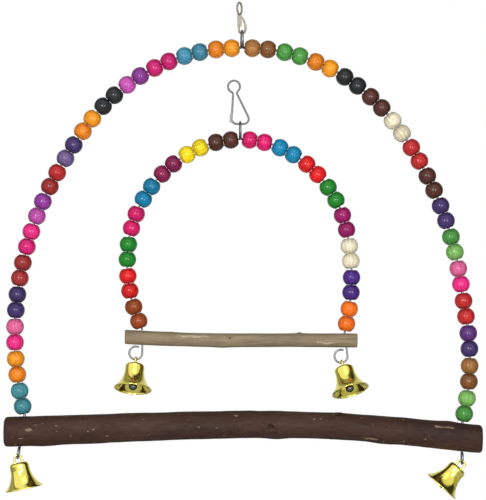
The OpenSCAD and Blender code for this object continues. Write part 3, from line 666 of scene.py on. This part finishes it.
def branch_points(b, span, rings, sides):
    """Points of a branch along X from its left hole, with what is rubbed or scarred there."""
    total = span + b.past[0] + b.past[1]
    verts, grains, scrapes, scars = [], [], [], []
    soft = b.end_soft
    for i in range(rings):
        x = -b.past[0] + total * i / (rings - 1)
        t = (x + b.past[0]) / total
        near_end = min(x + b.past[0], span + b.past[1] - x)
        round_off = 1.0
        if near_end < soft:
            k = 1 - near_end / soft
            round_off = 1 - b.end_drop * (1 - math.sqrt(max(0.0, 1 - k * k)))
        h = x / span
        lift = b.bow * math.sin(math.pi * h) + b.sway * math.sin(2 * math.pi * h)
        for j in range(sides):
            a = 360 * j / sides
            wave = 1 + sum(d * math.sin((n * a + turn * t) * DEG) for d, n, turn in b.waves)
            for at, way, swell, wide in b.knots:
                wave += swell * math.exp(-((t - at) / wide) ** 2) \
                    * max(0.0, math.cos((a - way) * DEG))
            r = b.radius(t) * wave * round_off
            c, s = math.cos(a * DEG), math.sin(a * DEG)
            own = Vector((x, r * c, r * s))
            depth = 0.0
            for share, size, stretch in b.relief:
                depth += share * noise.noise(Vector((x * stretch, r * c, r * s)) / size)
            rub = scar = 0.0
            for at, way, long, wide, kind in b.marks:
                along = (x - at * total + b.past[0]) / long
                across = round_gap(a, way) * DEG * r / wide
                d = math.hypot(along, across) + 0.35 * noise.noise(own * 700)
                if kind == "scrape":
                    d += 0.9 * noise.noise(Vector((own.x * 240, own.y * 1400, own.z * 1400)))
                    rub = max(rub, min(1.0, 1.6 - 1.6 * d) if d < 1 else 0.0)
                    depth -= 0.12 * MM * max(0.0, 1 - d)
                else:
                    depth += 0.55 * MM * math.exp(-((d - 0.8) / 0.3) ** 2)
                    depth -= 0.7 * MM * math.exp(-(d / 0.42) ** 2)
                    scar = max(scar, math.exp(-(d / 0.6) ** 2))
            r_skin = r - SKIN_INSET + depth * (1 if near_end > soft * 0.3 else 0.3)
            verts.append(Vector((x, r_skin * c, lift + r_skin * s)))
            grains.append(own)
            scrapes.append(rub)
            scars.append(scar)
    return verts, grains, scrapes, scars


def end_cap(b, verts, ring, sides, outward):
    """Rings that close a sawn end, and where their grain lies."""
    middle = sum((verts[k] for k in ring), Vector()) / sides
    rows, grains = [], []
    for share in (0.93, 0.75, 0.5, 0.25, 0.02):
        for k in ring:
            p = middle + (verts[k] - middle) * share
            p.x += outward * b.end_bulge * (1 - share * share) \
                + 0.08 * MM * noise.noise(p * 600)
            rows.append(p)
            grains.append(Vector((0, (p - middle).y, (p - middle).z)) + Vector((0, 0.0011, 0.0007)))
    return rows, grains


def perch(swing, b):
    """A drilled branch: its bark, its sawn ends and the bores of its two holes."""
    (left, way_left), (right, way_right) = swing.hole("left"), swing.hole("right")
    along = right - left
    span = along.length
    rings, sides = b.rings, b.sides
    verts, grains, scrapes, scars = branch_points(b, span, rings, sides)
    faces = grid_faces(rings, sides)
    bark_faces = len(faces)
    first, final = list(range(sides)), list(range((rings - 1) * sides, rings * sides))
    for ring, outward in ((first, -1), (final, 1)):
        rows, cap_grains = end_cap(b, verts, ring, sides, outward)
        start = len(verts)
        order = ring + list(range(start, start + len(rows)))
        cols = [order[n * sides:(n + 1) * sides] for n in range(6)]
        for a, c in zip(cols, cols[1:]):
            faces += [(a[k], a[(k + 1) % sides], c[(k + 1) % sides], c[k]) if outward > 0
                      else (a[(k + 1) % sides], a[k], c[k], c[(k + 1) % sides])
                      for k in range(sides)]
        tip = cols[-1] if outward > 0 else list(reversed(cols[-1]))
        faces.append(tuple(tip))
        verts += rows
        grains += cap_grains
        scrapes += [0.0] * len(rows)
        scars += [0.0] * len(rows)
    node = swing.name + "_perch"
    obj = new_object(node + "_branch", verts, faces)
    data = obj.data
    data.attributes.new("grain", "FLOAT_VECTOR", "POINT").data.foreach_set(
        "vector", np.array([tuple(g) for g in grains]).ravel())
    for name, values in (("scrape", scrapes), ("scar", scars)):
        data.attributes.new(name, "FLOAT", "POINT").data.foreach_set("value", values)
    for material in (b.bark, b.end, MATERIALS["bore"]):
        data.materials.append(material)
    for n, face in enumerate(data.polygons):
        face.material_index = 0 if n < bark_faces else 1
    obj.matrix_world = frame_matrix(left, along, Vector((0, 0, 1)))
    drill(obj, swing, ((left, way_left), (right, way_right)))
    dress(obj, swing.name + "_swing", node)
    return obj


def drill(obj, swing, holes):
    """Cuts the two holes of the feet through a perch."""
    r = swing.wire_d / 2 + HOLE_GAP
    shells = [tube([middle - way * HOLE_REACH, middle, middle + way * HOLE_REACH], r, sides=24)
              for middle, way in holes]
    cutter = merged(new_object("cutter", *joined(*shells)))
    cutter.data.materials.append(MATERIALS["bore"])
    cut = obj.modifiers.new("holes", "BOOLEAN")
    cut.operation, cut.solver, cut.object = "DIFFERENCE", "EXACT", cutter
    cut.material_mode = "TRANSFER"
    bpy.context.view_layer.update()
    cut_mesh = bpy.data.meshes.new_from_object(
        obj.evaluated_get(bpy.context.evaluated_depsgraph_get()))
    obj.modifiers.clear()
    obj.data = cut_mesh
    bpy.data.objects.remove(cutter)


# Bells

BELL_MOUTH_R = 11.4 * MM
BELL_H = 16 * MM
BELL_BODY_R = 5.8 * MM
BELL_WALL = 0.8 * MM
BELL_LIP_H = 0.5 * MM
BELL_CORNER_R = 2 * MM
BELL_FLARE_H = 12.5 * MM
BELL_DROP = 2.8 * MM
BAR_LEVEL = BELL_DROP + 2.8 * MM
STAPLE_D = 1.3 * MM
STAPLE_R = 2.15 * MM
SEAT_GAP = 0.05 * MM
CRIMP_R, CRIMP_H = 1.1 * MM, 0.5 * MM
BAR_D = 1 * MM
CLAPPER_GAP = 0.1 * MM
CLAPPER_WIRE_D = 0.9 * MM
CLAPPER_BALL_R = 2.6 * MM
BALL_ABOVE_MOUTH = 2 * MM
MOUTH_LEVEL = BELL_DROP + BELL_H


def bell_profile():
    """The wall of a bell, outside and inside, as (height, radius) from its pivot."""
    spread = BELL_MOUTH_R - BELL_BODY_R
    reach = BELL_FLARE_H - BELL_LIP_H
    flare_r = (spread * spread + reach * reach) / (2 * spread)
    flare_top = -(MOUTH_LEVEL - BELL_FLARE_H)

    def wall(thin):
        top = -(BELL_DROP + thin)
        corner = BELL_CORNER_R - thin
        body = BELL_BODY_R - thin
        points = [(top, share * (body - corner)) for share in (0, 0.35, 0.7)]
        points += [(top - corner * (1 - math.cos(a * DEG)),
                    body - corner + corner * math.sin(a * DEG)) for a in range(0, 91, 10)]
        flare = flare_r + thin
        for k in range(1, 25):
            dz = reach * k / 24
            points.append((flare_top - dz,
                           BELL_BODY_R + flare_r - math.sqrt(flare * flare - dz * dz)))
        return points

    outside, inside = wall(0), wall(BELL_WALL)
    rim = BELL_WALL / 2
    z, r_out = outside[-1]
    r_in = inside[-1][1]
    middle = (r_out + r_in) / 2
    half = (r_out - r_in) / 2
    lip = [(z - BELL_LIP_H + rim * 0.6 - rim * 0.6 * math.sin(a * DEG),
            middle + half * math.cos(a * DEG)) for a in range(0, 181, 20)]
    return outside + lip + list(reversed(inside))


def bell_parts(eye_wire_d):
    """Shell, staple, crimps and bar of a bell hung from its pivot, its bar along X."""
    arch_level = eye_wire_d / 2 + SEAT_GAP + STAPLE_D / 2 - STAPLE_R
    half = [Vector((-STAPLE_R, 0, -BAR_LEVEL + z)) for z in (-STAPLE_D * 0.45, 0, 1 * MM)]
    over = [Vector((-STAPLE_R * math.cos(a * DEG), 0, arch_level + STAPLE_R * math.sin(a * DEG)))
            for a in range(0, 181, 6)]
    staple = half + over + [Vector((-p.x, 0, p.z)) for p in reversed(half)]
    crimp = [(0, 0), (0, CRIMP_R * 0.85), (-CRIMP_H * 0.2, CRIMP_R), (-CRIMP_H * 0.8, CRIMP_R),
             (-CRIMP_H, CRIMP_R * 0.85), (-CRIMP_H, 0)]
    under = -BELL_DROP - BELL_WALL - SEAT_GAP
    crimps = [moved(lathe(crimp, 20), Matrix.Translation((way * STAPLE_R, 0, under)))
              for way in (-1, 1)]
    bar = tube([Vector((x, 0, -BAR_LEVEL)) for x in (-STAPLE_R, 0, STAPLE_R)], BAR_D / 2, 14)
    return lathe(bell_profile(), 96), joined(tube(staple, STAPLE_D / 2), *crimps, bar)


def clapper_parts():
    """Ring, rod and ball, hung from the bell's bar."""
    ball_level = MOUTH_LEVEL - BALL_ABOVE_MOUTH
    ring_r = BAR_D / 2 + CLAPPER_GAP + CLAPPER_WIRE_D / 2
    ring = tube([Vector((0, ring_r * math.cos(a * DEG), ring_r * math.sin(a * DEG) - BAR_LEVEL))
                 for a in range(0, 360, 10)], CLAPPER_WIRE_D / 2, 16, closed=True)
    rod_top = -BAR_LEVEL - ring_r
    neck = CLAPPER_BALL_R * 1.25
    rod = CLAPPER_WIRE_D / 2
    profile = [(rod_top, 0), (rod_top, rod * 0.8), (rod_top - rod * 0.4, rod)]
    profile += [(-ball_level + neck, rod), (-ball_level + neck * 0.93, rod * 1.25)]
    profile += [(-ball_level + CLAPPER_BALL_R * math.cos(a * DEG),
                 CLAPPER_BALL_R * math.sin(a * DEG)) for a in range(24, 181, 6)]
    return joined(ring, lathe(profile, 32))


def bell(swing, side):
    """A bell with its staple and its clapper, placed by the joints that they swing on."""
    name = f"{swing.name}_{side}"
    pivot = joint_place(name + "_bell_hinge")
    bar = joint_place(name + "_clapper_hinge")
    seat = frame_matrix(pivot, joint_axis(name + "_clapper_hinge"), pivot - bar)
    shell, staple = bell_parts(swing.wire_d)
    for piece, form, material in (("shell", shell, "gold"), ("staple", staple, "gold")):
        obj = merged(new_object(f"{name}_bell_{piece}", *form))
        obj.data.materials.append(MATERIALS[material])
        obj.matrix_world = seat
        dress(obj, name + "_bell", name + "_bell")
    obj = merged(new_object(name + "_clapper_ball", *clapper_parts()))
    obj.data.materials.append(MATERIALS["clapper"])
    obj.matrix_world = seat
    dress(obj, name + "_clapper", name + "_clapper")


# Studio

def camera():
    data = bpy.data.cameras.new("camera")
    data.sensor_width = SENSOR
    data.lens = SENSOR * CAMERA_BACK / (PHOTO_H * PIXEL)
    data.clip_start, data.clip_end = 0.05, 20
    obj = bpy.data.objects.new("camera", data)
    obj.location = MIDDLE - Vector((0, CAMERA_BACK, 0))
    obj.rotation_euler = (90 * DEG, 0, 0)
    bpy.context.scene.collection.objects.link(obj)
    bpy.context.scene.camera = obj


def softbox(name, place, size, watts, mirrored=True):
    light = bpy.data.lights.new(name, "AREA")
    light.shape = "RECTANGLE"
    light.size, light.size_y = size
    light.energy = watts
    obj = bpy.data.objects.new(name, light)
    obj.location = place
    obj.rotation_euler = (MIDDLE - Vector(place)).to_track_quat("-Z", "Y").to_euler()
    obj.visible_glossy = mirrored
    bpy.context.scene.collection.objects.link(obj)


def studio():
    """White behind the swings; the room's sides are dark, as polished metal shows it."""
    world = bpy.data.worlds.new("studio")
    bpy.context.scene.world = world
    world.use_nodes = True
    tree = world.node_tree
    tree.nodes.clear()

    def node(kind, **settings):
        made = tree.nodes.new("ShaderNode" + kind)
        for setting, value in settings.items():
            setattr(made, setting, value)
        return made

    out = node("OutputWorld")
    path = node("LightPath")
    place = node("TexCoord")
    split = node("SeparateXYZ")
    tree.links.new(place.outputs["Generated"], split.inputs[0])
    depth = node("MapRange")
    depth.inputs["From Min"].default_value = -1
    tree.links.new(split.outputs["Y"], depth.inputs["Value"])
    room = node("Mix", data_type="RGBA")
    sideways = node("MapRange")
    sideways.inputs["From Min"].default_value, sideways.inputs["From Max"].default_value = -0.2, 0.1
    tree.links.new(split.outputs["X"], sideways.inputs["Value"])
    tree.links.new(sideways.outputs[0], room.inputs[0])

    def walls(socket, *stops):
        """Levels of the room from behind the camera to behind the swings."""
        made = node("ValToRGB")
        points = made.color_ramp.elements
        while len(points) < len(stops):
            points.new(0.5)
        for point, (at, level) in zip(points, stops):
            point.position, point.color = at, (level, level, level, 1)
        tree.links.new(depth.outputs[0], made.inputs[0])
        tree.links.new(made.outputs[0], socket)

    walls(room.inputs[6], (0, 1), (0.5, 0.95), (0.55, 0.06), (0.62, 0.4), (0.8, 0.25), (0.9, 0.8))
    walls(room.inputs[7], (0, 0.95), (0.34, 0.85), (0.42, 0.04), (0.7, 0.04), (0.84, 0.6), (1, 0.8))
    sharp = node("Math", operation="MAXIMUM")
    tree.links.new(path.outputs["Is Glossy Ray"], sharp.inputs[0])
    tree.links.new(path.outputs["Is Transmission Ray"], sharp.inputs[1])
    fill, mirror, white = node("Background"), node("Background"), node("Background")
    walls(fill.inputs["Color"], (0, 0.4), (0.3, 0.3), (0.5, 0.03), (1, 0.02))
    white.inputs["Color"].default_value = (1, 1, 1, 1)
    tree.links.new(room.outputs[2], mirror.inputs["Color"])
    seen, all_seen = node("MixShader"), node("MixShader")
    tree.links.new(sharp.outputs[0], seen.inputs[0])
    tree.links.new(fill.outputs[0], seen.inputs[1])
    tree.links.new(mirror.outputs[0], seen.inputs[2])
    tree.links.new(path.outputs["Is Camera Ray"], all_seen.inputs[0])
    tree.links.new(seen.outputs[0], all_seen.inputs[1])
    tree.links.new(white.outputs[0], all_seen.inputs[2])
    tree.links.new(all_seen.outputs[0], out.inputs[0])

    softbox("key_left", (-0.5, -1.9, 0.15), (0.4, 0.5), 17)
    softbox("key_right", (0.55, -1.85, -0.05), (0.35, 0.45), 11)
    softbox("top", (0.1, -1.0, 1.1), (1.0, 0.8), 3)
    softbox("back", (0.15, 2.4, 0.1), (0.5, 0.5), 40, mirrored=False)

    floor_r, floor_z = 1.15, -0.42
    verts, faces = lathe([(floor_z, 0), (floor_z, floor_r * 0.5), (floor_z, floor_r),
                          (floor_z - 0.01, floor_r)], 96)
    floor = merged(new_object("floor", verts, faces))
    floor.data.materials.append(paper())
    bpy.context.scene.view_settings.view_transform = "Standard"


# The whole part

MATERIALS = {
    "bead": bead_wood(), "wire": steel("spring_steel", linear(128, 129, 130), 0.36),
    "large_clip": steel("clip_plating", linear(148, 142, 124), 0.46, metal=0.2),
    "small_clip": steel("clip_wire", linear(118, 119, 120), 0.42, metal=0.4),
    "clapper": steel("clapper_steel", linear(112, 111, 110), 0.34),
    "gold": gold(), "bore": bore_shade(),
}
LARGE = Swing(
    "large", pairs=15, bead_d=10.8 * MM, bead_len=9.3 * MM, pair_gaps=(0.6 * MM, 0.85 * MM),
    first_gap=1.55 * MM, wire_d=1.6 * MM, loop_r=4.9 * MM, lead_r=1.5 * MM, pitch=1 * MM,
    crown_r=(112 * MM, 111 * MM), crown_turn=(53, 52), flank_r=(205 * MM, 205 * MM),
    flank_turn=(6, 29), straight=(8 * MM, 27 * MM), foot_r=(200 * MM, 155 * MM),
    foot_heading=(81, 91), eye_r=3 * MM, eye_across=True,
    perch_r={"left": 9 * MM, "right": 8.5 * MM})
SMALL = Swing(
    "small", pairs=8, bead_d=10.6 * MM, bead_len=8.9 * MM, pair_gaps=(1 * MM, 1 * MM),
    first_gap=1.25 * MM, wire_d=1.2 * MM, loop_r=5.2 * MM, lead_r=1.2 * MM, pitch=0.8 * MM,
    crown_r=(52.5 * MM, 52.5 * MM), crown_turn=(20, 20), flank_r=(73 * MM, 69.5 * MM),
    flank_turn=(68, 62), straight=(2 * MM, 6 * MM), foot_r=(91 * MM, 130 * MM),
    foot_heading=(90, 83), eye_r=3.9 * MM, eye_across=False,
    perch_r={"left": 4.35 * MM, "right": 4.3 * MM})

LARGE_BRANCH = Branch(
    radii=(9 * MM, 8.1 * MM, 8.5 * MM), waist_at=0.7, past=(10.8 * MM, 12.1 * MM),
    bow=5.7 * MM, sway=-1 * MM, waves=((0.012, 3, 400), (0.01, 2, -900)),
    knots=((0.09, 250, 0.05, 0.03), (0.27, 40, 0.05, 0.03), (0.44, 200, 0.04, 0.02),
           (0.57, 285, 0.1, 0.022), (0.7, 120, 0.06, 0.025), (0.79, 255, 0.07, 0.03),
           (0.93, 60, 0.06, 0.02)),
    relief=((0.22 * MM, 9 * MM, 0.5), (0.14 * MM, 2.6 * MM, 0.35), (0.06 * MM, 1.1 * MM, 0.6)),
    marks=((0.556, 186, 4.2 * MM, 3.4 * MM, "knot"), (0.27, 40, 4 * MM, 3 * MM, "knot"),
           (0.79, 300, 3.5 * MM, 2.6 * MM, "knot"), (0.7, 120, 3.4 * MM, 3 * MM, "knot"),
           (0.765, 226, 5.5 * MM, 1 * MM, "scrape"), (0.92, 142, 9 * MM, 0.8 * MM, "scrape"),
           (0.052, 174, 2.6 * MM, 1.5 * MM, "scrape"), (0.035, 208, 1.8 * MM, 0.8 * MM, "scrape"),
           (0.62, 40, 9 * MM, 2 * MM, "scrape")),
    end_soft=2.2 * MM, end_drop=0.2, end_bulge=0.25 * MM, rings=440, sides=96,
    bark=bark(), slot="dark_branch",
    end=end_grain("dark_end", linear(72, 52, 42), linear(126, 98, 74), 260))
SMALL_BRANCH = Branch(
    radii=(4.35 * MM, 4.2 * MM, 4.3 * MM), waist_at=0.7, past=(10.4 * MM, 7.1 * MM),
    bow=-0.8 * MM, sway=-0.3 * MM, waves=((0.012, 3, 400), (0.01, 2, -900)),
    knots=((0.2, 80, 0.05, 0.03), (0.42, 280, 0.08, 0.03), (0.46, 200, 0.05, 0.02),
           (0.75, 60, 0.06, 0.03)),
    relief=((0.1 * MM, 5 * MM, 0.3), (0.07 * MM, 1.4 * MM, 0.12), (0.03 * MM, 0.7 * MM, 0.15)),
    marks=((0.45, 160, 1.5 * MM, 1.1 * MM, "knot"), (0.75, 60, 1.6 * MM, 1.2 * MM, "knot"),
           (0.3, 150, 9 * MM, 0.8 * MM, "scrape"), (0.86, 200, 7 * MM, 1 * MM, "scrape")),
    end_soft=0.7 * MM, end_drop=0.1, end_bulge=0.08 * MM, rings=330, sides=64,
    bark=driftwood(), slot="grey_branch",
    end=end_grain("grey_end", linear(112, 92, 72), linear(178, 156, 124), 340))

for swing, branch in ((LARGE, LARGE_BRANCH), (SMALL, SMALL_BRANCH)):
    arch(swing)
    perch(swing, branch)
    for side in ("left", "right"):
        for n in range(swing.pairs):
            bead_pair(swing, side, n)
        bell(swing, side)
for name in ("large_clip", "small_clip"):
    for place in frame["nodes"][name].material_slots:
        place.material = MATERIALS[name]
camera()
studio()
